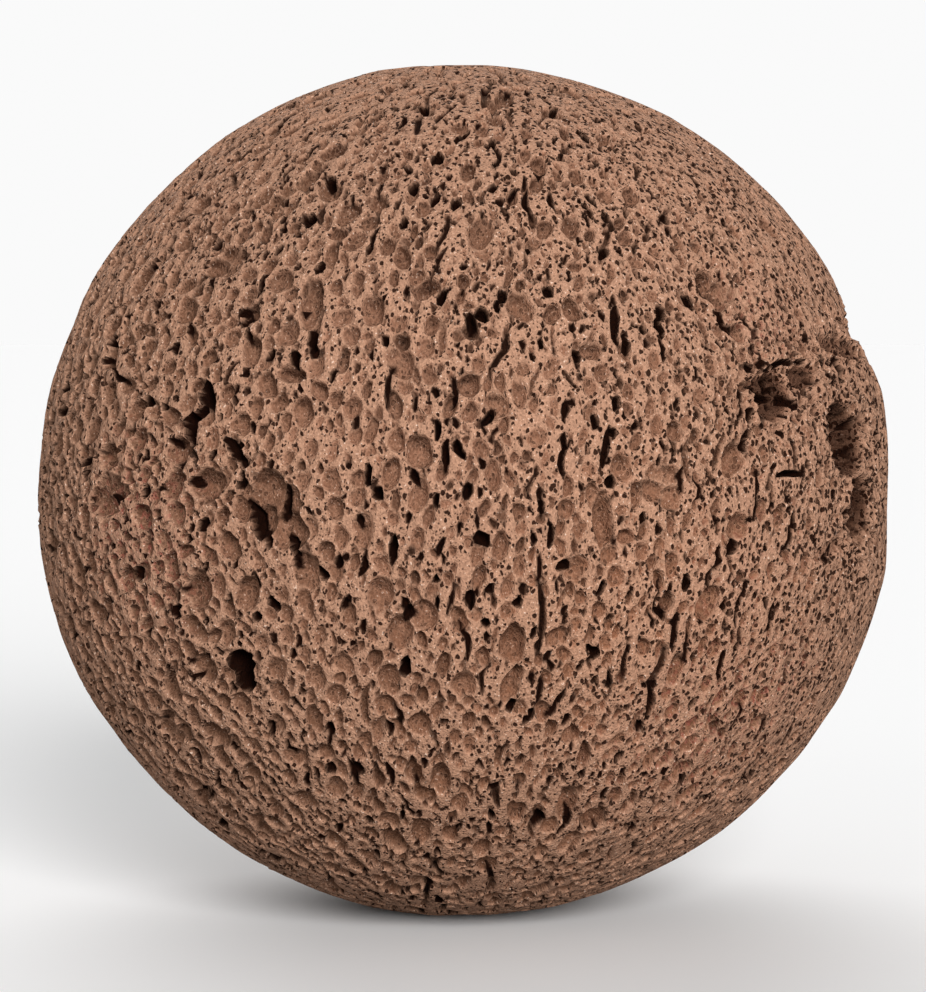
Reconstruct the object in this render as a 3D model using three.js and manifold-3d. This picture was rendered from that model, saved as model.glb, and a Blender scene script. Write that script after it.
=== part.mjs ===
// A lava rock: one ball of vesicular scoria, rounded all over, with gas-bubble hollows,
// a chipped and pitted flank, and one small worn flat that it stands on.
// Units are millimetres. +Z is up, -Y is the front, and the origin is the middle of the flat.
import * as THREE from 'three';
import { mergeVertices } from 'three/addons/utils/BufferGeometryUtils.js';
import Module from 'manifold-3d';

// Driving dimensions
const BALL_RADIUS = 150;
const FOOT_RADIUS = 22;
const BALL_DETAIL = 12;
const LARGE_HOLLOW_DETAIL = 2;
const SMALL_HOLLOW_DETAIL = 1;
const LARGE_HOLLOW_WIDTH = 13;

const FOOT_CUT = BALL_RADIUS - Math.sqrt(BALL_RADIUS ** 2 - FOOT_RADIUS ** 2);
const CENTRE_HEIGHT = BALL_RADIUS - FOOT_CUT;

const STONE_COLOUR = 0x83604e;
const STONE_ROUGHNESS = 0.95;

// Where the ball swells out or is worn in: longitude and latitude in degrees,
// height in millimetres (negative is worn in) and spread in degrees.
// Longitude 0 is the front and 90 the right flank (+X).
const SWELLS = [
  { lon: 83, lat: 22, height: -3.8, spread: 3.5 },
  { lon: 80, lat: 13, height: 0.9, spread: 5 },
  { lon: 84, lat: -3, height: -1.2, spread: 3 },
  { lon: 84, lat: -10, height: 0.9, spread: 4 },
  { lon: 84, lat: -32, height: 0.7, spread: 14 },
  { lon: -84, lat: 21, height: -1.5, spread: 4 },
  { lon: -84, lat: 6, height: -0.9, spread: 6 },
  { lon: -84, lat: -46, height: -0.8, spread: 9 },
  { lon: -84, lat: 46, height: -0.7, spread: 8 },
  { lon: 60, lat: 74, height: -0.7, spread: 9 },
  { lon: 140, lat: 15, height: -1.4, spread: 12 },
  { lon: 175, lat: -25, height: 0.8, spread: 14 },
  { lon: -150, lat: 35, height: -1.2, spread: 10 },
  { lon: -120, lat: -15, height: 0.7, spread: 12 },
  { lon: 155, lat: 60, height: -1.0, spread: 9 },
];

// The larger hollows: longitude and latitude in degrees, width, height and depth
// in millimetres, and how far each leans clockwise from upright, in degrees.
const HOLLOWS = [
  // coarse foam on the left of the front
  { lon: -30, lat: -20, width: 10, height: 16, depth: 12, lean: 0 },
  { lon: -36, lat: 10, width: 6, height: 13, depth: 11, lean: -15 },
  { lon: -34, lat: 14, width: 6, height: 11, depth: 8, lean: -30 },
  { lon: -23, lat: 0, width: 20, height: 25, depth: 7, lean: -15 },
  { lon: -38, lat: 7, width: 10, height: 10, depth: 5, lean: 0 },
  { lon: -51, lat: 6, width: 10, height: 10, depth: 5, lean: 20 },
  { lon: -51, lat: 1, width: 18, height: 13, depth: 5, lean: -20 },
  { lon: -33, lat: 3, width: 13, height: 10, depth: 6, lean: 0 },
  { lon: -35, lat: -10, width: 11, height: 15, depth: 5, lean: 10 },
  { lon: -36, lat: -20, width: 10, height: 10, depth: 5, lean: 0 },
  { lon: -38, lat: -30, width: 11, height: 12, depth: 5, lean: 0 },
  { lon: -47, lat: -30, width: 14, height: 14, depth: 4, lean: 30 },
  { lon: -37, lat: 32, width: 15, height: 13, depth: 4, lean: 0 },
  { lon: -22, lat: 17, width: 10, height: 6, depth: 6, lean: 0 },
  { lon: -21, lat: 26, width: 8, height: 19, depth: 5, lean: 0 },
  // stretched bubbles up the middle of the front
  { lon: -5, lat: 28, width: 9, height: 8, depth: 6, lean: 0 },
  { lon: 8, lat: 62, width: 9, height: 12, depth: 5, lean: 0 },
  { lon: 17, lat: -1, width: 7, height: 18, depth: 6, lean: 0 },
  { lon: 23, lat: -43, width: 10, height: 11, depth: 6, lean: 0 },
  { lon: 17, lat: -40, width: 7, height: 19, depth: 4, lean: 0 },
  { lon: 25, lat: 3, width: 15, height: 15, depth: 3, lean: 0 },
  // the chipped right flank
  { lon: 38, lat: 28, width: 12, height: 15, depth: 6, lean: 20 },
  { lon: 45, lat: 14, width: 22, height: 21, depth: 7, lean: 40 },
  { lon: 43, lat: 17, width: 24, height: 9, depth: 6, lean: 75 },
  { lon: 59, lat: 4, width: 20, height: 38, depth: 11, lean: 0 },
  { lon: 57, lat: 9, width: 15, height: 18, depth: 14, lean: 0 },
  { lon: 49, lat: -2, width: 18, height: 7, depth: 3, lean: 90 },
  // the flanks and the back
  { lon: 98, lat: -18, width: 12, height: 16, depth: 6, lean: 15 },
  { lon: 112, lat: 24, width: 10, height: 12, depth: 7, lean: -20 },
  { lon: 128, lat: -8, width: 16, height: 22, depth: 6, lean: 30 },
  { lon: 150, lat: 30, width: 9, height: 15, depth: 9, lean: 0 },
  { lon: 168, lat: 4, width: 21, height: 26, depth: 8, lean: -25 },
  { lon: 176, lat: -34, width: 13, height: 12, depth: 5, lean: 0 },
  { lon: -166, lat: 22, width: 8, height: 16, depth: 10, lean: 10 },
  { lon: -148, lat: -6, width: 14, height: 12, depth: 6, lean: 0 },
  { lon: -138, lat: 40, width: 15, height: 15, depth: 5, lean: 0 },
  { lon: -126, lat: 10, width: 10, height: 17, depth: 8, lean: -10 },
  { lon: -118, lat: -28, width: 16, height: 14, depth: 6, lean: 25 },
  { lon: -92, lat: 12, width: 12, height: 12, depth: 5, lean: 0 },
  { lon: -88, lat: -22, width: 11, height: 15, depth: 6, lean: -15 },
  { lon: 60, lat: 62, width: 10, height: 12, depth: 5, lean: 0 },
  { lon: -110, lat: 66, width: 14, height: 12, depth: 5, lean: 0 },
];

const DEGREE = Math.PI / 180;

// The outward direction at a longitude and latitude.
function directionAt(lon, lat) {
  const flat = Math.cos(lat * DEGREE);
  return new THREE.Vector3(
    Math.sin(lon * DEGREE) * flat,
    -Math.cos(lon * DEGREE) * flat,
    Math.sin(lat * DEGREE),
  );
}

// The worn ball's radius in one direction.
function radiusTowards(direction) {
  let radius = BALL_RADIUS;
  for (const swell of SWELLS) {
    const apart = direction.angleTo(directionAt(swell.lon, swell.lat)) / DEGREE;
    radius += swell.height * Math.exp(-0.5 * (apart / swell.spread) ** 2);
  }
  return radius;
}

// A closed triangle mesh as a solid that can be cut.
function solidOf(wasm, geometry) {
  const bare = geometry.clone();
  bare.deleteAttribute('normal');
  bare.deleteAttribute('uv');
  const merged = mergeVertices(bare, 1e-5);
  const mesh = new wasm.Mesh({
    numProp: 3,
    vertProperties: new Float32Array(merged.attributes.position.array),
    triVerts: new Uint32Array(merged.index.array),
  });
  return new wasm.Manifold(mesh);
}

// The ball before the bubbles are opened, centred on the origin.
function wornBall() {
  const geometry = new THREE.IcosahedronGeometry(1, BALL_DETAIL);
  const place = geometry.attributes.position;
  const point = new THREE.Vector3();
  for (let i = 0; i < place.count; i += 1) {
    point.fromBufferAttribute(place, i).normalize();
    point.multiplyScalar(radiusTowards(point));
    place.setXYZ(i, point.x, point.y, point.z);
  }
  return geometry;
}

// One hollow as an ellipsoid centred on the surface, so that it opens at its widest.
function hollowShape(hollow) {
  const wide = Math.max(hollow.width, hollow.height) > LARGE_HOLLOW_WIDTH;
  const detail = wide ? LARGE_HOLLOW_DETAIL : SMALL_HOLLOW_DETAIL;
  const geometry = new THREE.IcosahedronGeometry(1, detail);
  geometry.scale(hollow.width / 2, hollow.height / 2, hollow.depth);
  geometry.rotateZ(-hollow.lean * DEGREE);
  const out = directionAt(hollow.lon, hollow.lat);
  const east = new THREE.Vector3(Math.cos(hollow.lon * DEGREE), Math.sin(hollow.lon * DEGREE), 0);
  const north = new THREE.Vector3().crossVectors(out, east);
  const turn = new THREE.Matrix4().makeBasis(east, north, out);
  geometry.applyMatrix4(turn);
  const middle = out.multiplyScalar(radiusTowards(out));
  geometry.translate(middle.x, middle.y, middle.z);
  return geometry;
}

// A block whose top face wears the foot flat.
function footCutter() {
  const side = BALL_RADIUS;
  const geometry = new THREE.BoxGeometry(side, side, side);
  geometry.translate(0, 0, -CENTRE_HEIGHT - side / 2);
  return geometry;
}

// The finished solid's triangles as a flat-shaded geometry with the flat at height zero.
function geometryOf(solid) {
  const mesh = solid.getMesh();
  const geometry = new THREE.BufferGeometry();
  geometry.setAttribute('position', new THREE.BufferAttribute(mesh.vertProperties, mesh.numProp));
  geometry.setIndex(new THREE.BufferAttribute(mesh.triVerts, 1));
  geometry.translate(0, 0, CENTRE_HEIGHT);
  geometry.computeVertexNormals();
  return geometry;
}

const wasm = await Module();
wasm.setup();

let stone = solidOf(wasm, wornBall());
for (const hollow of HOLLOWS) {
  stone = stone.subtract(solidOf(wasm, hollowShape(hollow)));
}
stone = stone.subtract(solidOf(wasm, footCutter()));

const rock = new THREE.Mesh(
  geometryOf(stone),
  new THREE.MeshStandardMaterial({ color: STONE_COLOUR, roughness: STONE_ROUGHNESS, metalness: 0 }),
);
rock.name = 'lava_rock';

const lavaRock = new THREE.Group();
lavaRock.add(rock);

export default lavaRock;
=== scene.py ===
"""A ball of brown vesicular lava rock, standing on a small worn flat.

The stone is one closed mesh. It starts as the worn ball of the CAD model. Gas bubbles are packed
in the skin of the ball, large ones first, and every bubble that the worn surface cuts is opened
as a real hollow. Pores under about 1.5 millimetres are drawn by the material's bump, and by
painted shade in its colour.
Lengths in the making of the mesh are millimetres, and they become metres when the mesh is built.
"""

import math
from collections import namedtuple

import bpy
import numpy as np
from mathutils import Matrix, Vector


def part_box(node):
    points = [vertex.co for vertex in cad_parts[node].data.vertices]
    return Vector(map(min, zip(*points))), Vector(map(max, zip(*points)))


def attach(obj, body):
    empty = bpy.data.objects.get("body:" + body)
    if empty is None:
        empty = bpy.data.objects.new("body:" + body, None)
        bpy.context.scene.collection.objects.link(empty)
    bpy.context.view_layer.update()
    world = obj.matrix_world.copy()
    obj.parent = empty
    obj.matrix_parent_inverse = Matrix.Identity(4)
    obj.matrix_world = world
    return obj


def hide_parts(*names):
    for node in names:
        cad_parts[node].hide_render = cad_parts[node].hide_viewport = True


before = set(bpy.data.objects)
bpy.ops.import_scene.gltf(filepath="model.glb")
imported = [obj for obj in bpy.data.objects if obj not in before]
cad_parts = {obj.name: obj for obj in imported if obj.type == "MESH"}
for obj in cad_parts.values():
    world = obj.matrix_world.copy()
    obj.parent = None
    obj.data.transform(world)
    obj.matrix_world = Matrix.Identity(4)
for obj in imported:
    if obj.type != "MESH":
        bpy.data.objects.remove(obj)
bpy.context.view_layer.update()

NODE = "lava_rock"
SEED = 20

# ---- the worn ball, in millimetres ----------------------------------------------------------

MM = 0.001
FOOT_RADIUS = 22.0
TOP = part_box(NODE)[1][2] / MM
BALL_RADIUS = (TOP + FOOT_RADIUS ** 2 / TOP) / 2
CENTRE_HEIGHT = TOP - BALL_RADIUS

GRID_STEPS = 440
TRIANGLES = 196_000

# Low unevenness of the worn skin: wavelength and height in millimetres, and the wear they add.
UNEVEN = [(30.0, 0.5), (10.0, 0.3)]
EVEN_WEAR = 0.2

# Where the ball swells out or is worn in: longitude and latitude in degrees, height in
# millimetres and spread in degrees. Longitude 0 is the front and 90 the right flank (+X).
SWELLS = [
    (83, 22, -3.8, 3.5),
    (80, 14, 1.7, 4.5),
    (84, -3, -1.2, 3),
    (84, -10, 0.9, 4),
    (84, -32, 0.7, 14),
    (-84, 21, -1.5, 4),
    (-84, 6, -0.9, 6),
    (-84, -46, -0.8, 9),
    (-84, 46, -0.7, 8),
    (60, 74, -0.7, 9),
    (140, 15, -1.4, 12),
    (175, -25, 0.8, 14),
    (-150, 35, -1.2, 10),
    (-120, -15, 0.7, 12),
    (155, 60, -1.0, 9),
]

# The hollows that can be told apart: longitude and latitude in degrees, width, height and depth
# in millimetres, and how far each leans clockwise from upright, in degrees.
HOLLOWS = [
    # coarse foam on the left of the front
    (-30, -19, 10, 9, 12, 0),
    (-30, -21, 7, 11, 12, 10),
    (-36, 10, 6, 13, 11, -15),
    (-34, 14, 6, 11, 8, -30),
    (-23, 0, 20, 25, 7, -15),
    (-38, 7, 10, 10, 5, 0),
    (-51, 6, 10, 10, 5, 20),
    (-51, 1, 18, 13, 5, -20),
    (-33, 3, 13, 10, 6, 0),
    (-35, -10, 11, 15, 5, 10),
    (-36, -20, 10, 10, 5, 0),
    (-38, -30, 11, 12, 5, 0),
    (-47, -30, 14, 14, 4, 30),
    (-37, 32, 15, 13, 4, 0),
    (-22, 17, 10, 6, 6, 0),
    (-21, 26, 8, 19, 5, 0),
    # stretched bubbles up the middle of the front
    (-5, 28, 9, 8, 6, 0),
    (8, 62, 9, 12, 5, 0),
    (17, -1, 7, 18, 6, 0),
    (23, -43, 10, 11, 6, 0),
    (17, -40, 7, 19, 4, 0),
    (25, 3, 15, 15, 3, 0),
    # the chipped right flank
    (38, 28, 12, 15, 6, 20),
    # the flanks and the back, in places that the photo doesn't show
    (98, -18, 12, 16, 6, 15),
    (112, 24, 10, 12, 7, -20),
    (128, -8, 16, 22, 6, 30),
    (150, 30, 9, 15, 9, 0),
    (168, 4, 21, 26, 8, -25),
    (176, -34, 13, 12, 5, 0),
    (-166, 22, 8, 16, 10, 10),
    (-148, -6, 14, 12, 6, 0),
    (-138, 40, 15, 15, 5, 0),
    (-126, 10, 10, 17, 8, -10),
    (-118, -28, 16, 14, 6, 25),
    (-92, 12, 12, 12, 5, 0),
    (-88, -22, 11, 15, 6, -15),
    (60, 62, 10, 12, 5, 0),
    (-110, 66, 14, 12, 5, 0),
]

# Smaller hollows that can be told apart, in the same form.
SMALL_HOLLOWS = [
    (-39, -13, 4, 5, 6, 15),
    (-41, 20, 4, 4, 5, 0),
    (-5, 49, 4, 6, 6, 0),
    (-29, 7, 4, 13, 5, -42),
    (-20, 21, 3, 9, 6, 0),
    (-14, 41, 7, 7, 4, 0),
    (-11, 34, 6, 9, 4, 0),
    (0, 29, 5, 5, 4, 0),
    (1, 22, 5, 6, 5, 0),
    (-8, 21, 5, 6, 5, 0),
    (-33, 41, 8, 8, 4, 0),
    (7, 57, 6, 9, 4, 0),
    (20, -3, 7, 5, 3, 0),
    (12, -15, 8, 7, 4, 0),
    (2, -3, 4, 6, 5, -30),
    (-2, 7, 2, 10, 4, 10),
    (12, 7, 2, 15, 4, 4),
    (26, -11, 5, 7, 5, 10),
    (39, -29, 5, 6, 5, 0),
    (44, 4, 2, 9, 5, 84),
    (46, 4, 2, 8, 5, 98),
    (-26, -1, 3, 14, 10, -24),
    (-22, 1, 3, 12, 9, 12),
    (-21, -4, 3, 8, 9, -40),
    (46, 18, 2, 8, 5, 70),
    (48, 18, 3, 8, 6, 96),
    (51, 18, 2, 6, 4, 80),
    (42, 15, 3, 7, 6, -40),
    (44, 14, 3, 7, 6, -70),
    (39, 15, 3, 7, 3, 75),
    (47, 13, 3, 6, 5, -15),
    (57, 17, 3, 10, 6, -10),
    (62, 17, 5, 9, 7, -20),
    (65, 0, 4, 6, 5, 0),
    (63, -4, 4, 5, 5, 0),
]

# Where whole pieces of the skin have broken off, in the same form. The pores go on inside.
BREAKS = [
    (44, 14, 18, 19, 5, 15),
    (51, 16, 18, 8, 4, 0),
    (60, 8, 29, 27, 10, 0),
    (63, -1, 22, 24, 5, 0),
    (54, -6, 7, 20, 2, 75),
    (66, 20, 44, 9, 2.5, 8),
    (82, 23, 60, 14, 3, 2),
    (102, 26, 44, 13, 2.5, -8),
]

# Where the rock has broken away roughly: longitude, latitude and spread in degrees, and strength.
SCARS = [
    (44, 15, 4.5, 1.0),
    (51, 17, 4, 0.9),
    (62, 8, 5, 1.0),
    (67, 6, 5, 1.0),
    (64, -2, 5, 1.0),
    (60, 18, 4, 0.6),
    (68, 20, 4, 0.6),
    (80, 22, 4, 0.6),
    (93, 24, 4, 0.6),
    (105, 26, 4, 0.6),
    (73, 4, 4, 0.7),
    (38, 28, 3.5, 0.6),
    (168, 4, 6, 0.8),
    (128, -8, 5, 0.6),
]


def unit(vectors):
    """The vectors, each made one long."""
    return vectors / np.maximum(np.linalg.norm(vectors, axis=-1, keepdims=True), 1e-12)


def direction_at(lon, lat):
    """The outward direction at a longitude and latitude in degrees."""
    lon, lat = np.radians(lon), np.radians(lat)
    flat = np.cos(lat)
    return np.stack([np.sin(lon) * flat, -np.cos(lon) * flat, np.sin(lat)], axis=-1)


def bump_at(directions, lon, lat, spread):
    """A smooth bump that is 1 at one place and falls off over spread degrees."""
    near = np.clip(directions @ direction_at(lon, lat), -1, 1)
    return np.exp(-0.5 * (np.degrees(np.arccos(near)) / spread) ** 2)


def worn_radius(directions):
    """How far the worn ball reaches in each direction, down to the flat of the foot."""
    uneven = Noise(SEED + 5)
    skin = directions * BALL_RADIUS
    radius = BALL_RADIUS
    for wavelength, height in UNEVEN:
        radius = radius + height * uneven.at(skin, wavelength)
    radius = radius - EVEN_WEAR
    for lon, lat, height, spread in SWELLS:
        radius += height * bump_at(directions, lon, lat, spread)
    down = np.maximum(-directions[..., 2], 1e-6)
    return np.minimum(radius, CENTRE_HEIGHT / down)


# ---- smooth random fields --------------------------------------------------------------------

LATTICE = 32


class Noise:
    """Smooth noise from -1 to 1 with features of about one wavelength."""

    def __init__(self, seed):
        self.table = np.random.default_rng(seed).uniform(-1, 1, (LATTICE, LATTICE, LATTICE))
        self.table = self.table.astype(np.float32)

    def at(self, points, wavelength):
        """The noise at some points, blended between the eight corners of each lattice cell."""
        scaled = points / wavelength
        base = np.floor(scaled).astype(np.int64)
        part = (scaled - base).astype(np.float32)
        part = part * part * (3 - 2 * part)
        low = base % LATTICE
        high = (base + 1) % LATTICE
        total = 0.0
        for dx in (0, 1):
            ix, wx = (high[..., 0], part[..., 0]) if dx else (low[..., 0], 1 - part[..., 0])
            for dy in (0, 1):
                iy, wy = (high[..., 1], part[..., 1]) if dy else (low[..., 1], 1 - part[..., 1])
                for dz in (0, 1):
                    iz, wz = (high[..., 2], part[..., 2]) if dz else (low[..., 2], 1 - part[..., 2])
                    total = total + self.table[ix, iy, iz] * wx * wy * wz
        return total


# ---- where the foam is coarse, stretched or fine ---------------------------------------------

COARSE_PLACES = [(-48, -8, 30, 1.0), (-95, 10, 24, 0.8), (-150, -20, 26, 0.7), (160, 25, 24, 0.6)]
FINE_PLACES = [(68, 0, 32, 1.0), (50, 50, 26, 0.8), (110, -30, 28, 0.7), (-175, 60, 24, 0.6)]
STRETCHED_PLACES = [(8, 0, 26, 1.0), (0, -40, 26, 0.8), (5, 35, 22, 0.8), (-120, 20, 25, 0.7)]


def zone(directions, places):
    """How strongly each direction belongs to one kind of foam, from 0 to 1."""
    total = np.zeros(directions.shape[:-1])
    for lon, lat, spread, strength in places:
        total = np.maximum(total, strength * bump_at(directions, lon, lat, spread))
    return total


# ---- bubbles -----------------------------------------------------------------------------------

# A kind of bubble: its least and greatest width in millimetres; tries for each square centimetre
# of skin; how likely a try is kept in coarse, stretched, fine and plain foam; how clear of the
# others it stays, 1 being just touching; how far its centre lies below the skin, in radii; how deep
# and how long it is, in widths; how far a long one is bent, in radii; and how much painted shade
# darkens it inside.
Kind = namedtuple("Kind", "size tries odds clear sunk depth length bend dark")
KINDS = [
    Kind((7.5, 11.5), 1.6, (1.0, 0.04, 0.0, 0.04), 0.84, (-0.6, 0.0), 1.0, (1.0, 1.35), 0.1, (0.0, 0.15)),
    Kind((5.0, 7.5), 5.0, (1.0, 0.14, 0.0, 0.15), 0.84, (-0.6, 0.3), 1.0, (1.0, 1.5), 0.1, (0.0, 0.25)),
    Kind((2.5, 4.6), 0.7, (0.5, 0.9, 0.1, 0.5), 0.5, (0.1, 0.5), 2.2, (1.0, 2.1), 0.2, (0.85, 1.0)),
    Kind((1.4, 2.8), 0.7, (0.1, 1.0, 0.1, 0.3), 0.6, (0.0, 0.35), 1.6, (2.4, 6.0), 1.1, (0.2, 1.0)),
    Kind((3.3, 5.0), 12.0, (1.0, 0.22, 0.03, 0.3), 0.86, (-0.6, 0.5), 1.0, (1.0, 1.6), 0.2, (0.0, 0.5)),
    Kind((2.2, 3.3), 12.0, (1.0, 0.6, 0.3, 0.7), 0.86, (-0.5, 0.5), 1.2, (1.0, 1.9), 0.3, (0.1, 0.9)),
    Kind((1.6, 2.2), 9.0, (0.5, 0.8, 1.0, 0.9), 0.9, (-0.3, 0.4), 1.3, (1.0, 1.8), 0.3, (0.4, 1.0)),
]
CELL = 12.0
SQUARE_CM = 100.0

# The least share of plain foam anywhere; how much longer bubbles grow in stretched foam; how far
# they lean, in radians: at random, steadily in fine foam, and any way in coarse and plain foam; how
# much a bend varies; and the bend from which a kind counts as slits, which keep their full width.
FEWEST_PLAIN = 0.05
MORE_STRETCHED = 0.9
LEAN_SPREAD = 0.22
FINE_LEAN = 0.35
ANY_LEAN = 1.5
BEND_RANGE = (0.3, 1.5)
SLIT_BEND = 0.5

# A hollow this many times as deep as it is wide gets painted shade, painted black a little deeper.
SHADE_FROM = 0.9
SHADE_OVER = 0.25
# A hollow that is neither painted dark nor narrow is made of lobes: two, and one more for every few
# millimetres of its length, set this far from its middle. Sizes and depths are shares of its own.
LONE_WIDTH = 12
LOBE_EVERY = 7
LOBE_AWAY = 0.27
LOBE_SIZE = (0.45, 0.7)
LOBE_DEPTH = (0.55, 1.2)
LOBE_TURN = 0.7
KEPT_CLEAR = 0.7


class Bubbles:
    """Bubbles in the skin of the ball, with a quick way to find those near a place."""

    def __init__(self):
        self.rows = []
        self.cells = {}

    def near(self, centre):
        """The bubbles in the cells around a place."""
        home = tuple(int(c // CELL) for c in centre)
        for dx in (-1, 0, 1):
            for dy in (-1, 0, 1):
                for dz in (-1, 0, 1):
                    yield from self.cells.get((home[0] + dx, home[1] + dy, home[2] + dz), ())

    def is_free(self, centre, radius, clear):
        """Whether a new bubble would stay clear of those already there."""
        x, y, z = centre
        for ox, oy, oz, reach in self.near(centre):
            apart = (reach + radius) * clear
            if (x - ox) ** 2 + (y - oy) ** 2 + (z - oz) ** 2 < apart * apart:
                return False
        return True

    def add(self, centre, radius, row):
        key = tuple(int(c // CELL) for c in centre)
        self.cells.setdefault(key, []).append((*centre, radius))
        self.rows.append(row)


def add_hollow(bubbles, hollow, random):
    """Adds one of the large hollows, made of a few bubbles that ran together."""
    lon, lat, width, height, depth, lean = hollow
    middle = direction_at(lon, lat)
    dark = min(max((depth / width - SHADE_FROM) / SHADE_OVER, 0.0), 1.0)
    lean = math.radians(lean)
    east, north = frame_at(middle)
    whole = dark > 0.5 or min(width, height) < LONE_WIDTH
    parts = 1 if whole else 2 + round(max(width, height) / LOBE_EVERY)
    for part in range(parts):
        turn = 2 * math.pi * (part + random.uniform(0, LOBE_TURN)) / parts
        away = 0.0 if parts == 1 else LOBE_AWAY
        across, along = math.cos(turn) * width * away, math.sin(turn) * height * away
        shift = east * (across * math.cos(lean) + along * math.sin(lean))
        shift = shift + north * (along * math.cos(lean) - across * math.sin(lean))
        out = unit(middle * BALL_RADIUS + shift)
        size = 1.0 if parts == 1 else random.uniform(*LOBE_SIZE)
        deep = depth if parts == 1 else depth * random.uniform(*LOBE_DEPTH)
        row = (out, width / 2 * size, height / 2 * size, deep, 0.0, lean, 0.0, dark)
        bubbles.add(tuple(out * BALL_RADIUS), (width + height) / 4 * size * KEPT_CLEAR, row)


def add_kind(bubbles, kind, random):
    """Throws bubbles of one kind at the skin and keeps those that clear the others."""
    tries = round(kind.tries * 4 * math.pi * BALL_RADIUS ** 2 / SQUARE_CM)
    out = unit(random.normal(size=(tries, 3)))
    coarse = zone(out, COARSE_PLACES)
    stretched = zone(out, STRETCHED_PLACES)
    fine = zone(out, FINE_PLACES)
    plain = np.clip(1 - coarse - stretched - fine, FEWEST_PLAIN, 1)
    shares = np.stack([coarse, stretched, fine, plain])
    odds = np.tensordot(np.array(kind.odds), shares, 1) / shares.sum(axis=0)
    radius = random.uniform(kind.size[0], kind.size[1], tries) / 2
    sunk = radius * random.uniform(kind.sunk[0], kind.sunk[1], tries)
    length = random.uniform(kind.length[0], kind.length[1], tries)
    length = length * (1 + stretched * random.uniform(0.0, MORE_STRETCHED, tries))
    lean = random.normal(0, LEAN_SPREAD, tries) + fine * FINE_LEAN
    anyhow = np.clip(coarse + plain - stretched, 0, 1)
    lean = lean + anyhow * random.uniform(-ANY_LEAN, ANY_LEAN, tries)
    bend = kind.bend * random.choice([-1, 1], tries) * random.uniform(*BEND_RANGE, tries)
    dark = random.uniform(kind.dark[0], kind.dark[1], tries)
    for i in np.flatnonzero(random.random(tries) < odds):
        narrow = radius[i] if kind.bend > SLIT_BEND else radius[i] / math.sqrt(length[i])
        tall = narrow * length[i]
        reach = (narrow + tall) / 2
        centre = tuple(out[i] * (BALL_RADIUS - sunk[i]))
        if bubbles.is_free(centre, reach, kind.clear):
            row = (out[i], narrow, tall, radius[i] * kind.depth, sunk[i], lean[i], bend[i], dark[i])
            bubbles.add(centre, reach, row)


def pack_bubbles(random):
    """All the bubbles that the worn skin cuts, large hollows first."""
    bubbles = Bubbles()
    for hollow in HOLLOWS + SMALL_HOLLOWS:
        add_hollow(bubbles, hollow, random)
    for kind in KINDS:
        add_kind(bubbles, kind, random)
    return bubbles.rows


# ---- the grid ------------------------------------------------------------------------------------

# How squarely a direction has to face a side to be looked for there, and the slack in a window.
LEAST_FACING = 0.35
WINDOW_SLACK = 1.5


class Side:
    """One of six square grids of directions that together cover the ball evenly."""

    def __init__(self, axis, sign, steps):
        self.axis, self.sign, self.steps = axis, sign, steps
        angle = np.linspace(-math.pi / 4, math.pi / 4, steps + 1)
        across, along = np.meshgrid(np.tan(angle), np.tan(angle), indexing="ij")
        raw = np.empty((steps + 1, steps + 1, 3))
        raw[..., axis] = sign
        raw[..., (axis + 1) % 3] = across
        raw[..., (axis + 2) % 3] = along * sign
        self.out = raw / np.linalg.norm(raw, axis=-1, keepdims=True)
        step = np.arange(steps + 1)
        i, j = np.meshgrid(step, step, indexing="ij")
        place = np.empty((steps + 1, steps + 1, 3), dtype=np.int64)
        place[..., axis] = steps if sign > 0 else 0
        place[..., (axis + 1) % 3] = i
        place[..., (axis + 2) % 3] = j if sign > 0 else steps - j
        self.key = (place[..., 0] * (steps + 1) + place[..., 1]) * (steps + 1) + place[..., 2]
        self.depth = np.zeros((steps + 1, steps + 1), dtype=np.float32)
        # How much painted shade darkens each point, near black in deep holes.
        self.dark = np.zeros((steps + 1, steps + 1), dtype=np.float32)
        self.broken = np.zeros((steps + 1, steps + 1), dtype=np.float32)

    def window(self, out, reach):
        """The rows and columns of the grid within reach radians of a direction, or None."""
        facing = out[self.axis] * self.sign
        if facing < LEAST_FACING:
            return None
        spot = (out[(self.axis + 1) % 3] / facing, out[(self.axis + 2) % 3] * self.sign / facing)
        spans = []
        for tangent in spot:
            middle = (math.atan(tangent) / (math.pi / 2) + 0.5) * self.steps
            half = WINDOW_SLACK * reach / (math.pi / 2) * self.steps + 1
            low = max(0, math.floor(middle - half))
            high = min(self.steps, math.ceil(middle + half))
            if low >= high:
                return None
            spans.append(slice(low, high + 1))
        return tuple(spans)


# How wide the step at a bubble's rim is, and how outlines are bent: wavelengths and reaches.
RIM = 0.45
BENDS = [(7.5, 1.0), (3.4, 0.6), (1.7, 0.3)]
# Room left around a bubble or a break for its bent outline: a share of its reach, and millimetres.
BUBBLE_ROOM = 1.15
BREAK_ROOM = 0.6
BEND_ROOM = 1.2
BEND_MIDDLE = 0.4
BREAK_WALL = 0.25
# Lumps on the floors of hollows and on broken faces: wavelengths and heights.
FLOOR_LUMPS = [(3.2, 0.6), (1.7, 0.35)]
LUMPY_DEPTH = 2.5
CRUMBS = [(5.0, 1.5), (2.6, 1.2), (1.3, 0.5)]
CRUMB_DEPTH = 2.0
SCAR_EDGE = 1.4
PIT_REACH = 3.2


def frame_at(out):
    """The directions east and north along the skin."""
    east = unit(np.cross((0.0, 0.0, 1.0), out))
    return east, np.cross(out, east)


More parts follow.
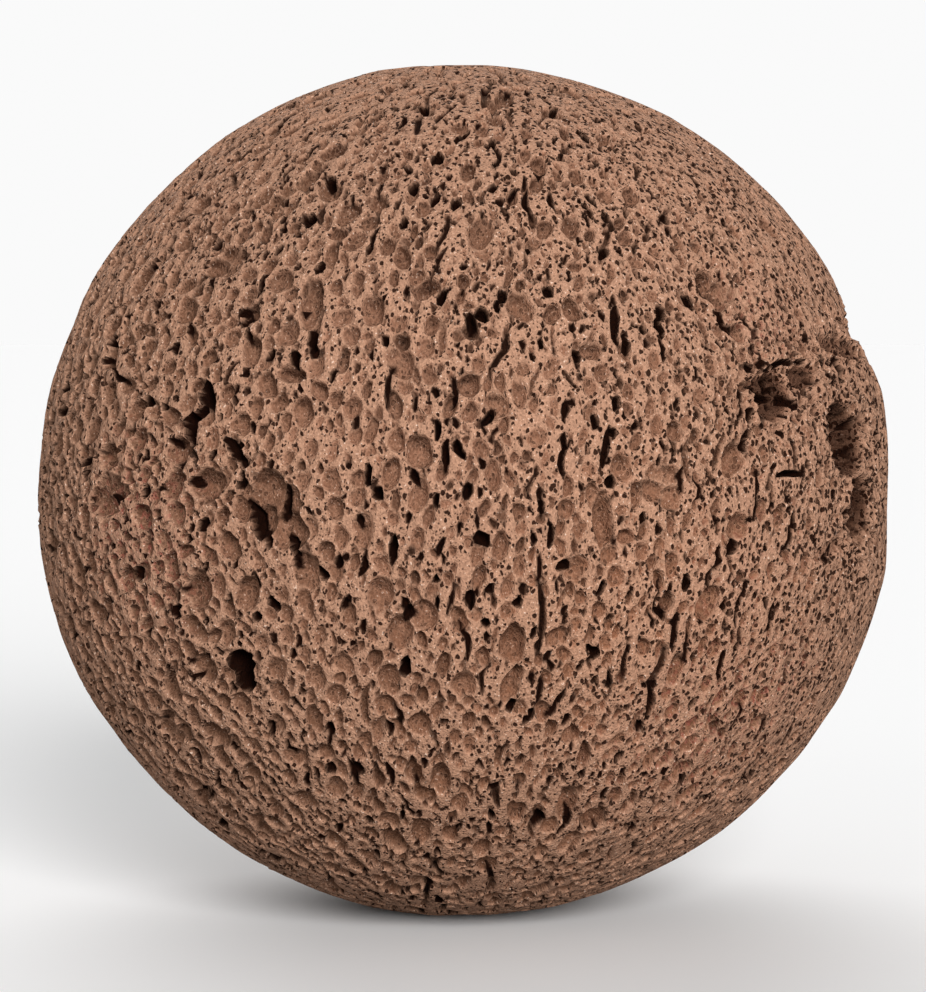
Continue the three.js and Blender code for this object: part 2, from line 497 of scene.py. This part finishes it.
def open_bubble(side, skin, row):
    """Opens one bubble in one side of the grid, where the worn surface cuts it."""
    out, half_width, half_height, half_depth, sunk, lean, bend, dark = row
    cut = math.sqrt(max(0.0, 1 - (sunk / half_depth) ** 2))
    reach = max(half_width * (1 + abs(bend)), half_height) * cut
    window = side.window(out, (reach * BUBBLE_ROOM + BEND_ROOM) / BALL_RADIUS)
    if window is None:
        return
    east, north = frame_at(out)
    across = east * math.cos(lean) - north * math.sin(lean)
    along = east * math.sin(lean) + north * math.cos(lean)
    away = skin[window] - out * BALL_RADIUS
    v = away @ along / half_height
    u = away @ across / half_width - bend * (v * v - BEND_MIDDLE)
    apart = np.sqrt(u * u + v * v)
    inside = (cut - apart) * min(half_width, half_height)
    edge = np.clip(inside / RIM + 0.5, 0, 1)
    edge = edge * edge * (3 - 2 * edge)
    floor = sunk + half_depth * np.sqrt(np.clip(1 - apart * apart, 0, 1))
    floor = np.maximum(floor, 0) * edge
    np.maximum(side.depth[window], floor, out=side.depth[window])
    # The painted shade of a dark hollow, full just inside its rim.
    np.maximum(side.dark[window], np.minimum(edge * 2, 1) * dark, out=side.dark[window])


def open_break(side, skin, place):
    """Takes off a piece of the skin, with steep sides and a flat floor."""
    lon, lat, width, height, depth, lean = place
    out = direction_at(lon, lat)
    window = side.window(out, (max(width, height) * BREAK_ROOM + BEND_ROOM) / BALL_RADIUS)
    if window is None:
        return
    east, north = frame_at(out)
    lean = math.radians(lean)
    across = east * math.cos(lean) - north * math.sin(lean)
    along = east * math.sin(lean) + north * math.cos(lean)
    away = skin[window] - out * BALL_RADIUS
    apart = np.hypot(away @ across / (width / 2), away @ along / (height / 2))
    facing = (skin[window] @ out) > 0
    floor = depth * np.clip((1 - apart) / BREAK_WALL, 0, 1) * facing
    np.maximum(side.broken[window], floor, out=side.broken[window])


def carve(sides, rows):
    """Opens all the bubbles, their outlines made uneven by bending the skin a little."""
    wobble = [Noise(SEED + k) for k in range(3)]
    for side in sides:
        skin = side.out * BALL_RADIUS
        bent = skin.copy()
        for wavelength, reach in BENDS:
            bent += np.stack([noise.at(skin, wavelength) for noise in wobble], axis=-1) * reach
        for place in BREAKS:
            open_break(side, bent, place)
        side.broken = np.maximum(side.broken + crumbling(side.out, wobble), 0)
        for row in rows:
            open_bubble(side, bent, row)
        side.depth = np.maximum(side.depth + uneven_floor(skin, side.depth, wobble), 0)


def lumps_at(skin, noises, sizes):
    """Lumps of a few sizes, each from a noise of its own."""
    return sum(height * noise.at(skin, wavelength) for noise, (wavelength, height) in zip(noises, sizes))


def uneven_floor(skin, depth, wobble):
    """Small lumps on the floors of the hollows."""
    return lumps_at(skin, wobble[1:], FLOOR_LUMPS) * np.clip(depth / LUMPY_DEPTH, 0, 1)


def crumbling(directions, wobble):
    """Extra depth where the rock has broken away and left a rough, crumbly face."""
    rough = lumps_at(directions * BALL_RADIUS, wobble, CRUMBS)
    return np.clip(zone(directions, SCARS) * SCAR_EDGE, 0, 1) * np.abs(rough) * CRUMB_DEPTH


def blurred(grid, reach):
    """The grid with each value replaced by the mean of its square neighbourhood."""
    for axis in (0, 1):
        padded = np.pad(grid, [(reach + 1, reach) if a == axis else (0, 0) for a in (0, 1)], "edge")
        total = np.cumsum(padded, axis=axis, dtype=np.float64)
        high = np.take(total, range(2 * reach + 1, total.shape[axis]), axis=axis)
        low = np.take(total, range(0, total.shape[axis] - 2 * reach - 1), axis=axis)
        grid = (high - low) / (2 * reach + 1)
    return grid


def finish_side(side):
    """Works out the side's points, its outward normals and how far each point is sunk."""
    sunk = side.depth + side.broken
    side.points = side.out * (worn_radius(side.out) - sunk)[..., None]
    along_i = np.gradient(side.points, axis=0)
    along_j = np.gradient(side.points, axis=1)
    normal = np.cross(along_i, along_j)
    side.normals = normal / np.linalg.norm(normal, axis=-1, keepdims=True)
    reach = max(1, round(PIT_REACH / (math.pi / 2 * BALL_RADIUS) * side.steps))
    side.pit = sunk - blurred(sunk, reach)


def sampled(sides, name, directions):
    """Values of one field of the grid in some directions, blended between grid points."""
    axis = np.argmax(np.abs(directions), axis=1)
    found = None
    for side in sides:
        facing = directions[:, side.axis] * side.sign
        mine = np.flatnonzero((axis == side.axis) & (facing > 0))
        field = getattr(side, name)
        if found is None:
            found = np.zeros((len(directions),) + field.shape[2:])
        spots = []
        for turn, sign in ((1, 1), (2, side.sign)):
            tangent = directions[mine, (side.axis + turn) % 3] * sign / facing[mine]
            spots.append((np.arctan(tangent) / (math.pi / 2) + 0.5) * side.steps)
        i, j = (np.clip(np.floor(s).astype(int), 0, side.steps - 1) for s in spots)
        p, q = spots[0] - i, spots[1] - j
        if field.ndim == 3:
            p, q = p[:, None], q[:, None]
        low = field[i, j] * (1 - q) + field[i, j + 1] * q
        high = field[i + 1, j] * (1 - q) + field[i + 1, j + 1] * q
        found[mine] = low * (1 - p) + high * p
    return found


# ---- the mesh ------------------------------------------------------------------------------------

# How much larger the front is made while the net is thinned.
FRONT_CARE = 0.35
# How far into a triangle its corners' values are taken, and how well a normal has to agree with
# its triangle before it is used alone.
INSET = 0.3
AGREES = 0.75
AGREES_OVER = 0.5
# The turn between two triangles, in degrees, at which a rim begins, and the further turn to a full one.
RIM_FROM = 14
RIM_OVER = 40
# The share of each square of the UV map that its side of the stone fills.
SQUARE_SHARE = 0.97


def welded(sides):
    """The six grids joined into one closed net: points and quads."""
    keys = np.concatenate([side.key.ravel() for side in sides])
    _, first, back = np.unique(keys, return_index=True, return_inverse=True)
    points = np.concatenate([side.points.reshape(-1, 3) for side in sides])[first]
    quads = []
    start = 0
    for side in sides:
        count = side.steps + 1
        number = (np.arange(count * count).reshape(count, count)) + start
        ring = (number[:-1, :-1], number[1:, :-1], number[1:, 1:], number[:-1, 1:])
        quads.append(np.stack([corner.ravel() for corner in ring], axis=1))
        start += count * count
    return points, back.ravel()[np.concatenate(quads)]


def new_mesh(name, points, faces):
    """A mesh from arrays of points and equal-sided faces."""
    mesh = bpy.data.meshes.new(name)
    corners = faces.shape[1]
    mesh.vertices.add(len(points))
    mesh.vertices.foreach_set("co", points.astype(np.float32).ravel())
    mesh.loops.add(faces.size)
    mesh.loops.foreach_set("vertex_index", faces.astype(np.int32).ravel())
    mesh.polygons.add(len(faces))
    mesh.polygons.foreach_set("loop_start", np.arange(0, faces.size, corners, dtype=np.int32))
    mesh.update(calc_edges=True)
    return mesh


def front_stretch(directions):
    """How much larger the front is made while the net is thinned, so that it keeps more detail."""
    return 1 - FRONT_CARE * directions[..., 1:2]


def thinned(obj, triangles):
    """Keeps about this many triangles, mostly along rims and ridges."""
    modifier = obj.modifiers.new("thin", "DECIMATE")
    modifier.ratio = triangles / (2 * len(obj.data.polygons))
    modifier.use_collapse_triangulate = True
    bpy.context.view_layer.update()
    graph = bpy.context.evaluated_depsgraph_get()
    mesh = bpy.data.meshes.new_from_object(obj.evaluated_get(graph))
    obj.modifiers.clear()
    old = obj.data
    obj.data = mesh
    bpy.data.meshes.remove(old)
    mesh.name = obj.name


def place_on_foot(mesh, points):
    """Puts the points, in millimetres from the ball's centre, in the CAD model's frame."""
    placed = (points + (0, 0, CENTRE_HEIGHT)) * MM
    placed[:, 2] = np.maximum(placed[:, 2], 0)
    mesh.vertices.foreach_set("co", placed.astype(np.float32).ravel())
    mesh.update()


def arrays_of(mesh):
    """The mesh's points and its triangles."""
    points = np.empty(len(mesh.vertices) * 3, dtype=np.float32)
    mesh.vertices.foreach_get("co", points)
    triangles = np.empty(len(mesh.loops), dtype=np.int32)
    mesh.loops.foreach_get("vertex_index", triangles)
    return points.reshape(-1, 3).astype(float), triangles.reshape(-1, 3)


def just_inside(points, triangles):
    """Directions a little way into each triangle from each of its corners."""
    corners = points[triangles]
    middle = corners.mean(axis=1, keepdims=True)
    return unit((corners + (middle - corners) * INSET).reshape(-1, 3))


def set_normals(mesh, sides, points, triangles):
    """Gives each corner the fine grid's normal just inside its triangle, so rims stay crisp."""
    corners = points[triangles]
    normals = unit(sampled(sides, "normals", just_inside(points, triangles)))
    face = unit(np.cross(corners[:, 1] - corners[:, 0], corners[:, 2] - corners[:, 0]))
    face = np.repeat(face, 3, axis=0)
    agree = np.sum(normals * face, axis=1)
    blend = np.clip((AGREES - agree) / AGREES_OVER, 0, 1)[:, None]
    normals = unit(normals * (1 - blend) + face * blend)
    mesh.polygons.foreach_set("use_smooth", np.ones(len(mesh.polygons), dtype=bool))
    mesh.normals_split_custom_set(normals.astype(np.float32))


def rim_strength(points, triangles):
    """For each point, how sharply the surface turns outward there: 1 on the rim of a hollow."""
    corners = points[triangles]
    normal = unit(np.cross(corners[:, 1] - corners[:, 0], corners[:, 2] - corners[:, 0]))
    middle = corners.mean(axis=1)
    ends = np.concatenate([triangles[:, [0, 1]], triangles[:, [1, 2]], triangles[:, [2, 0]]])
    ends.sort(axis=1)
    face = np.tile(np.arange(len(triangles)), 3)
    order = np.lexsort((ends[:, 1], ends[:, 0]))
    ends, face = ends[order], face[order]
    pair = np.flatnonzero((ends[1:] == ends[:-1]).all(axis=1))
    one, two = face[pair], face[pair + 1]
    turn = np.degrees(np.arccos(np.clip(np.sum(normal[one] * normal[two], axis=1), -1, 1)))
    outward = np.sum((middle[two] - middle[one]) * normal[one], axis=1) < 0
    strength = np.clip((turn - RIM_FROM) / RIM_OVER, 0, 1) * outward
    rim = np.zeros(len(points))
    for end in (0, 1):
        np.maximum.at(rim, ends[pair, end], strength)
    return rim


# Places that are tinted apart: longitude, latitude and spread in degrees, and strength. The pale
# places are partly a painted pool of light on the front, and the darker places partly painted
# shade, most of all the two on the flanks.
PALE_AND_LIT_PLACES = [(-15, 19, 12, 1.0), (5, 6, 26, 0.7), (35, 50, 25, 0.7), (45, 20, 18, 0.6)]
RED_PLACES = [
    (-45, -3, 7, 1.0),
    (50, -24, 6, 1.0),
    (38, -28, 9, 0.9),
    (46, 24, 4, 0.8),
    (40, -10, 10, 0.4),
    (-130, 0, 14, 0.6),
    (150, -30, 12, 0.7),
]
WARM_PLACES = [(21, -15, 13, 1.0), (35, -20, 18, 0.8), (10, -35, 18, 0.5), (-160, 10, 20, 0.7)]
# Darker places, partly painted shade, most of all the two on the flanks.
DUSKY_AND_SHADED_PLACES = [
    (-52, -35, 26, 0.9),
    (-80, 8, 28, 1.0),
    (84, -5, 24, 1.0),
    (-45, 42, 24, 0.6),
    (150, -35, 25, 0.7),
    (15, -75, 25, 0.6),
    (-10, 85, 20, 0.5),
]
# Broad patches in the skin: wavelengths in millimetres and weights, and how much they stand out.
MOTTLES = [(14.0, 1.0), (5.0, 0.6)]
MOTTLE_CONTRAST = 0.7


FIELD_PLACES = {
    "fine": FINE_PLACES,
    "pale": PALE_AND_LIT_PLACES,
    "red": RED_PLACES,
    "warm": WARM_PLACES,
    "dusky_and_shade": DUSKY_AND_SHADED_PLACES,
}


def add_field(mesh, name, values, domain="POINT"):
    """Keeps one number for each point or corner of the mesh, for the material to read."""
    layer = mesh.attributes.new(name, "FLOAT", domain)
    layer.data.foreach_set("value", values.astype(np.float32))


def mottling(out):
    """Broad light and dark patches of the skin, from 0 to 1."""
    noise = Noise(SEED + 7)
    patches = lumps_at(out * BALL_RADIUS, [noise, noise], MOTTLES)
    return np.clip(patches * MOTTLE_CONTRAST + 0.5, 0, 1)


def add_fields(mesh, sides, points, triangles):
    """Keeps what the material needs to know of the stone, on its points and its corners."""
    out = unit(points)
    inside = just_inside(points, triangles)
    add_field(mesh, "depth", sampled(sides, "depth", inside), "CORNER")
    add_field(mesh, "pit", sampled(sides, "pit", inside), "CORNER")
    add_field(mesh, "dark", sampled(sides, "dark", inside), "CORNER")
    # How far each corner's surface faces up; the material paints shade on walls that face down.
    _, north = frame_at(inside)
    upward = np.sum(unit(sampled(sides, "normals", inside)) * north, axis=1)
    add_field(mesh, "upward", upward, "CORNER")
    add_field(mesh, "rim", rim_strength(points, triangles))
    add_field(mesh, "mottle", mottling(out))
    add_field(mesh, "broken", sampled(sides, "broken", inside), "CORNER")
    for name, places in FIELD_PLACES.items():
        add_field(mesh, name, zone(out, places))


def unwrap(mesh, points, triangles):
    """Lays the stone's six sides out as two rows of three squares."""
    corners = points[triangles]
    middle = corners.mean(axis=1)
    axis = np.argmax(np.abs(middle), axis=1)
    rows = np.arange(len(triangles))
    sign = np.where(middle[rows, axis] > 0, 1, -1)
    facing = corners[rows, :, axis]
    across = np.arctan(corners[rows, :, (axis + 1) % 3] / facing) / (math.pi / 2)
    along = np.arctan(corners[rows, :, (axis + 2) % 3] / facing * sign[:, None]) / (math.pi / 2)
    u = (axis[:, None] + 0.5 + across * SQUARE_SHARE) / 3
    v = ((sign[:, None] > 0) + 0.5 + along * SQUARE_SHARE) / 2
    layer = mesh.uv_layers.new(name="OFBake")
    layer.data.foreach_set("uv", np.stack([u, v], axis=-1).astype(np.float32).ravel())


def build_stone():
    """The stone's mesh object, in metres and in the CAD model's frame."""
    rows = pack_bubbles(np.random.default_rng(SEED))
    sides = [Side(axis, sign, GRID_STEPS) for axis in range(3) for sign in (1, -1)]
    carve(sides, rows)
    for side in sides:
        finish_side(side)
    points, quads = welded(sides)
    mesh = new_mesh("lava_rock_stone", points * front_stretch(unit(points)), quads)
    stone = bpy.data.objects.new("lava_rock_stone", mesh)
    bpy.context.scene.collection.objects.link(stone)
    thinned(stone, TRIANGLES)
    points, triangles = arrays_of(stone.data)
    points = points / front_stretch(unit(points))
    place_on_foot(stone.data, points)
    add_fields(stone.data, sides, points, triangles)
    unwrap(stone.data, points, triangles)
    set_normals(stone.data, sides, points, triangles)
    return stone


# ---- material -------------------------------------------------------------------------------------


class Graph:
    """A short way to write a material's nodes."""

    def __init__(self, tree):
        self.tree = tree

    def node(self, kind, inputs=(), **settings):
        """A new node with its settings, and values or links for its inputs."""
        node = self.tree.nodes.new(kind)
        for name, value in settings.items():
            setattr(node, name, value)
        for name, value in dict(inputs).items():
            self.feed(node.inputs[name], value)
        return node

    def feed(self, socket, value):
        """Links a socket to another one, or gives it a plain value."""
        if isinstance(value, bpy.types.NodeSocket):
            self.tree.links.new(value, socket)
        else:
            socket.default_value = value

    def math(self, operation, *values):
        return self.node("ShaderNodeMath", enumerate(values), operation=operation).outputs[0]

    def times(self, *values):
        total = values[0]
        for value in values[1:]:
            total = self.math("MULTIPLY", total, value)
        return total

    def plus(self, *values):
        total = values[0]
        for value in values[1:]:
            total = self.math("ADD", total, value)
        return total

    def step(self, value, low, high, start=0.0, end=1.0):
        """Goes smoothly from start to end as the value goes from low to high."""
        inputs = {"Value": value, "From Min": low, "From Max": high, "To Min": start, "To Max": end}
        node = self.node("ShaderNodeMapRange", inputs, interpolation_type="SMOOTHSTEP")
        return node.outputs["Result"]

    def field(self, name):
        return self.node("ShaderNodeAttribute", attribute_name=name).outputs["Fac"]

    def noise(self, points, wavelength, detail, rough=0.5):
        inputs = {"Vector": points, "Scale": 1 / wavelength, "Detail": detail, "Roughness": rough}
        return self.node("ShaderNodeTexNoise", inputs)

    def cells(self, points, wavelength):
        return self.node("ShaderNodeTexVoronoi", {"Vector": points, "Scale": 1 / wavelength})

    def vector(self, operation, *values):
        return self.node("ShaderNodeVectorMath", enumerate(values), operation=operation).outputs[0]

    def split(self, colour):
        """The red, green and blue parts of a colour."""
        return self.node("ShaderNodeSeparateColor", {"Color": colour}).outputs

    def grey(self, value):
        """A grey of the value's brightness."""
        parts = {"Red": value, "Green": value, "Blue": value}
        return self.node("ShaderNodeCombineColor", parts).outputs[0]

    def blend(self, factor, one, two, blend_type="MIX"):
        node = self.node("ShaderNodeMix", data_type="RGBA", blend_type=blend_type)
        self.feed(node.inputs[0], factor)
        self.feed(node.inputs[6], one)
        self.feed(node.inputs[7], two)
        return node.outputs[2]


def linear(red, green, blue):
    """A colour given as 0 to 255 screen values, as the shader wants it."""
    parts = [c / 255 for c in (red, green, blue)]
    return tuple(c / 12.92 if c <= 0.04045 else ((c + 0.055) / 1.055) ** 2.4 for c in parts) + (1.0,)


SKIN = linear(138, 97, 75)
SKIN_DARK = linear(116, 79, 60)
# Floors: a greyer tone of their own, darkened further as painted shade.
FLOOR_TONE_AND_SHADE = linear(99, 69, 50)
# Rims and pore lips: pale with wear, and partly a painted highlight.
WORN_RIM_AND_HIGHLIGHT = linear(178, 136, 111)
# Painted shade, used in the painted pores, pits, walls that face down and deep breaks.
PAINTED_SHADE = linear(33, 11, 3)
# Near black painted shade in deep holes.
PAINTED_HOLE_SHADE = linear(24, 7, 2)
# Pale patches, partly a painted pool of light on the front.
PALE_AND_LIT = linear(166, 120, 96)
WARM = linear(146, 94, 65)
RED = linear(150, 72, 65)
# Darker patches, partly painted shade.
DUSKY_AND_SHADE = linear(84, 61, 48)
SPECK = linear(214, 190, 172)


# The fine pores that are only painted: wavelengths in millimetres, radii in wavelengths, and the
# share of the cells that have one. The larger ones are wider and more common in fine foam.
LARGE_PORES = 1.9
LARGE_LOW = 0.17
LARGE_HIGH = 0.36
LARGE_SHARE = 0.66
FINE_LOW = 0.1
FINE_HIGH = 0.08
FINE_SHARE = 0.3
SMALL_PORES = 0.95
SMALL_LOW = 0.2
SMALL_HIGH = 0.42
SMALL_SHARE = 0.6
PORE_EDGE = 0.2
LIP_WIDTH = 2.5

# The warp that makes pores uneven, how much pores are drawn out upwards, and the finest grain.
SWIRL = 1.4
SWIRL_REACH = 1.1
DRAWN_OUT = 0.8
GRAIN = 0.75
GRAIN_DETAIL = 1.0
GRAIN_ROUGH = 0.6

# How strongly each colour is laid over the ones before it, from 0 to 1.
PALE_MIX = 0.75
WARM_MIX = 0.5
DUSKY_MIX = 0.65
RED_MIX = 0.7
FLOOR_MIX = 0.35
SHADE_MIX = 0.5
UNDER_SHADE_MIX = 0.7
BROKEN_MIX = 0.85
LIP_MIX = 0.5
SPECK_MIX = 0.7
SMALL_MIX = 0.75
LARGE_MIX = 0.95
GRAIN_TONES = (0.76, 1.22)
ROUGHNESS = (0.85, 0.98)
SPECULAR = 0.06
PORE_BUMP = -0.9
GRAIN_BUMP = 0.7


def pores(graph, points, wavelength, low, high, share):
    """Small round pores: how open each spot is, from 0 on the skin to 1 in a pore, and its rim."""
    cells = graph.cells(points, wavelength)
    chance = graph.split(cells.outputs["Color"])
    kept = graph.math("LESS_THAN", chance["Green"], share)
    span = {"Value": chance["Red"], "To Min": low, "To Max": high}
    radius = graph.node("ShaderNodeMapRange", span).outputs["Result"]
    inside = graph.math("SUBTRACT", graph.times(radius, kept), cells.outputs["Distance"])
    soft = PORE_EDGE / wavelength
    opened = graph.step(inside, -soft / 2, soft / 2)
    # The lip round the pore, painted pale as wear and as a highlight.
    lip = graph.math("SUBTRACT", graph.step(inside, -LIP_WIDTH * soft, -soft / 2), opened)
    return opened, graph.times(lip, kept)


def both_pores(graph, place, swirl, on_skin):
    """The larger and the smaller painted pores, and the lips of both."""
    reach = (SWIRL_REACH,) * 3
    drift = graph.vector("MULTIPLY_ADD", swirl, reach, place)
    fine = graph.field("fine")
    low = graph.plus(LARGE_LOW, graph.times(fine, FINE_LOW))
    high = graph.plus(LARGE_HIGH, graph.times(fine, FINE_HIGH))
    share = graph.plus(LARGE_SHARE, graph.times(fine, FINE_SHARE))
    large, large_lip = pores(graph, drift, LARGE_PORES, low, high, share)
    small, small_lip = pores(graph, drift, SMALL_PORES, SMALL_LOW, SMALL_HIGH, SMALL_SHARE)
    lips = graph.math("MAXIMUM", large_lip, small_lip)
    return graph.times(large, on_skin), graph.times(small, on_skin), lips


def skin_colour(graph, swirl):
    """The colour of the outer skin, with its pale, warm, darker and red places. The pale places are
    partly a painted pool of light on the front, and the darker places partly painted shade on the flanks.
    """
    colour = graph.blend(graph.field("mottle"), SKIN_DARK, SKIN)
    # Pale patches, partly a painted pool of light on the front.
    colour = graph.blend(graph.times(graph.field("pale"), PALE_MIX), colour, PALE_AND_LIT)
    colour = graph.blend(graph.times(graph.field("warm"), WARM_MIX), colour, WARM)
    # Darker patches, partly painted shade, most on the flanks.
    colour = graph.blend(graph.times(graph.field("dusky_and_shade"), DUSKY_MIX), colour, DUSKY_AND_SHADE)
    spots = graph.step(graph.split(swirl)["Green"], 0.5, 0.64)
    return graph.blend(graph.times(graph.field("red"), spots, RED_MIX), colour, RED)


def shaded_sunk_colour(graph, colour, depth, broken):
    """The colour darkened with painted shade on floors, which also have a greyer tone of their own,
    in pits and deep places, on walls that face down and deep in breaks.

    The steps of depth, pit and broken are in millimetres.
    """
    # Floors take their own greyer tone, darkened further as painted shade.
    colour = graph.blend(graph.step(depth, 0.3, 2.0, 0.0, FLOOR_MIX), colour, FLOOR_TONE_AND_SHADE)
    # Painted shade in pits and in deep places.
    pit = graph.step(graph.field("pit"), 0.4, 3.6)
    shade = graph.math("MAXIMUM", pit, graph.step(depth, 3.0, 12.0))
    colour = graph.blend(graph.times(shade, SHADE_MIX), colour, PAINTED_SHADE)
    # Painted shade on walls that face down, as if lit from above.
    facing_down_shade = graph.step(graph.field("upward"), -0.8, 0.1, 1.0, 0.0)
    under = graph.times(facing_down_shade, graph.step(depth, 0.4, 2.0))
    colour = graph.blend(graph.times(under, UNDER_SHADE_MIX), colour, PAINTED_SHADE)
    # Deep in the breaks: painted shade, and the darker crumbly rock there.
    return graph.blend(graph.step(broken, 0.6, 5.5, 0.0, BROKEN_MIX), colour, PAINTED_SHADE)


def lit_colour(graph, colour, depth, lips, grain, on_skin, whole):
    """The colour lightened on rims and on the lips of pores, as wear and as a painted highlight,
    and in pale specks.
    """
    rims = graph.step(graph.field("rim"), 0.2, 0.9)
    # Rims on the whole skin: pale with wear, and a painted highlight.
    light = graph.times(rims, graph.step(depth, 0.5, 4.0, 0.75, 0.1), whole)
    lips = graph.times(lips, LIP_MIX, on_skin, whole)
    colour = graph.blend(graph.math("MAXIMUM", light, lips), colour, WORN_RIM_AND_HIGHLIGHT)
    specks = graph.times(graph.step(grain, 0.67, 0.75), on_skin, whole, SPECK_MIX)
    return graph.blend(specks, colour, SPECK)


def stone_material():
    """Brown scoria: a pale skin, rims pale with wear and a painted highlight, and floors,
    pores and holes darkened with painted shade.
    """
    material = bpy.data.materials.new("scoria")
    material.use_nodes = True
    graph = Graph(material.node_tree)
    shader = material.node_tree.nodes["Principled BSDF"]
    place = graph.node("ShaderNodeTexCoord").outputs["Object"]
    place = graph.vector("MULTIPLY", place, (1 / MM, 1 / MM, DRAWN_OUT / MM))
    swirl = graph.noise(place, SWIRL, 0.0).outputs["Color"]
    grain = graph.noise(place, GRAIN, GRAIN_DETAIL, GRAIN_ROUGH).outputs["Fac"]
    depth = graph.field("depth")
    broken = graph.field("broken")
    on_skin = graph.step(depth, 0.4, 1.6, 1.0, 0.45)
    whole = graph.step(broken, 0.5, 3.5, 1.0, 0.1)
    large, small, lips = both_pores(graph, place, swirl, on_skin)

    colour = shaded_sunk_colour(graph, skin_colour(graph, swirl), depth, broken)
    colour = lit_colour(graph, colour, depth, lips, grain, on_skin, whole)
    # The painted pores, dark with painted shade.
    colour = graph.blend(graph.times(small, SMALL_MIX), colour, PAINTED_SHADE)
    colour = graph.blend(graph.times(large, LARGE_MIX), colour, PAINTED_SHADE)
    # Deep holes painted near black as shade.
    colour = graph.blend(graph.step(graph.field("dark"), 0.1, 0.8), colour, PAINTED_HOLE_SHADE)
    tone = graph.grey(graph.step(grain, 0.25, 0.75, *GRAIN_TONES))
    graph.feed(shader.inputs["Base Color"], graph.blend(1.0, colour, tone, "MULTIPLY"))
    graph.feed(shader.inputs["Roughness"], graph.step(grain, 0.3, 0.7, *ROUGHNESS))
    shader.inputs["Specular IOR Level"].default_value = SPECULAR

    height = graph.plus(graph.times(large, PORE_BUMP), graph.times(grain, GRAIN_BUMP))
    bump = graph.node("ShaderNodeBump", {"Height": height, "Strength": 1.0, "Distance": MM})
    graph.feed(shader.inputs["Normal"], bump.outputs["Normal"])
    return material


# ---- studio ---------------------------------------------------------------------------------------

VIEW_ELEVATION = math.radians(3.0)
LENS = 120.4
SENSOR = 36
CLIP_START = 0.01
BALL_HALF_ANGLE = math.radians(7.33)
AIM_BELOW_CENTRE = 2.1
FLOOR_ALBEDO = 0.95
FLOOR_BOUNCE = 0.5
FLOOR_ROUGHNESS = 0.8
FLOOR_HALF = 30.0
BACKDROP = 0.955
DIFFUSE_BOUNCES = 2

# The soft far lights: name, azimuth, elevation and spread in degrees, and strength.
SUNS = [("key", 14, 19, 26, 3.6), ("fill", -30, 15, 50, 0.3), ("back", 190, 38, 60, 1.7)]


def add_camera():
    """The camera in front of the stone, a little above its middle."""
    distance = BALL_RADIUS / math.sin(BALL_HALF_ANGLE)
    aim = Vector((0, 0, CENTRE_HEIGHT - AIM_BELOW_CENTRE)) * MM
    away = Vector((0, -math.cos(VIEW_ELEVATION), math.sin(VIEW_ELEVATION)))
    data = bpy.data.cameras.new("camera")
    data.lens = LENS
    data.sensor_width = SENSOR
    data.clip_start = CLIP_START
    camera = bpy.data.objects.new("camera", data)
    camera.location = aim + away * distance * MM
    camera.rotation_euler = (aim - camera.location).to_track_quat("-Z", "Y").to_euler()
    bpy.context.scene.collection.objects.link(camera)
    bpy.context.scene.camera = camera


def add_sun(name, azimuth, elevation, spread, strength):
    """A soft far light. Azimuth 0 shines from the front and 90 from the right, in degrees."""
    data = bpy.data.lights.new(name, "SUN")
    data.angle = math.radians(spread)
    data.energy = strength
    light = bpy.data.objects.new(name, data)
    source = Vector(direction_at(azimuth, elevation))
    light.rotation_euler = source.to_track_quat("Z", "Y").to_euler()
    bpy.context.scene.collection.objects.link(light)


def add_floor():
    """A wide pale floor, which the camera sees brighter than it lights the stone."""
    mesh = bpy.data.meshes.new("floor")
    half = FLOOR_HALF
    corners = [(-half, -half, 0), (half, -half, 0), (half, half, 0), (-half, half, 0)]
    mesh.from_pydata(corners, [], [(0, 1, 2, 3)])
    floor = bpy.data.objects.new("floor", mesh)
    bpy.context.scene.collection.objects.link(floor)
    material = bpy.data.materials.new("floor")
    material.use_nodes = True
    shader = material.node_tree.nodes["Principled BSDF"]
    graph = Graph(material.node_tree)
    seen = graph.node("ShaderNodeLightPath").outputs["Is Camera Ray"]
    bright = (FLOOR_ALBEDO,) * 3 + (1,)
    dull = (FLOOR_BOUNCE,) * 3 + (1,)
    graph.feed(shader.inputs["Base Color"], graph.blend(seen, dull, bright))
    shader.inputs["Roughness"].default_value = FLOOR_ROUGHNESS
    shader.inputs["Specular IOR Level"].default_value = 0.0
    mesh.materials.append(material)


def add_studio():
    """Lights the stone, and makes the open floor just as bright as the backdrop behind it."""
    lit = sum(strength * math.sin(math.radians(elevation)) for _, _, elevation, _, strength in SUNS)
    ambient = BACKDROP / FLOOR_ALBEDO - lit / math.pi
    world = bpy.data.worlds.new("studio")
    world.use_nodes = True
    graph = Graph(world.node_tree)
    sky = world.node_tree.nodes["Background"]
    seen = graph.node("ShaderNodeLightPath").outputs["Is Camera Ray"]
    span = {"Value": seen, "To Min": ambient, "To Max": BACKDROP}
    strength = graph.node("ShaderNodeMapRange", span)
    graph.feed(sky.inputs["Color"], (1, 1, 1, 1))
    graph.feed(sky.inputs["Strength"], strength.outputs["Result"])
    bpy.context.scene.world = world
    for sun in SUNS:
        add_sun(*sun)
    bpy.context.scene.view_settings.view_transform = "Standard"
    bpy.context.scene.cycles.diffuse_bounces = DIFFUSE_BOUNCES


stone = build_stone()
stone.data.materials.append(stone_material())
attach(stone, "root")
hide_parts(NODE)
add_floor()
add_studio()
add_camera()
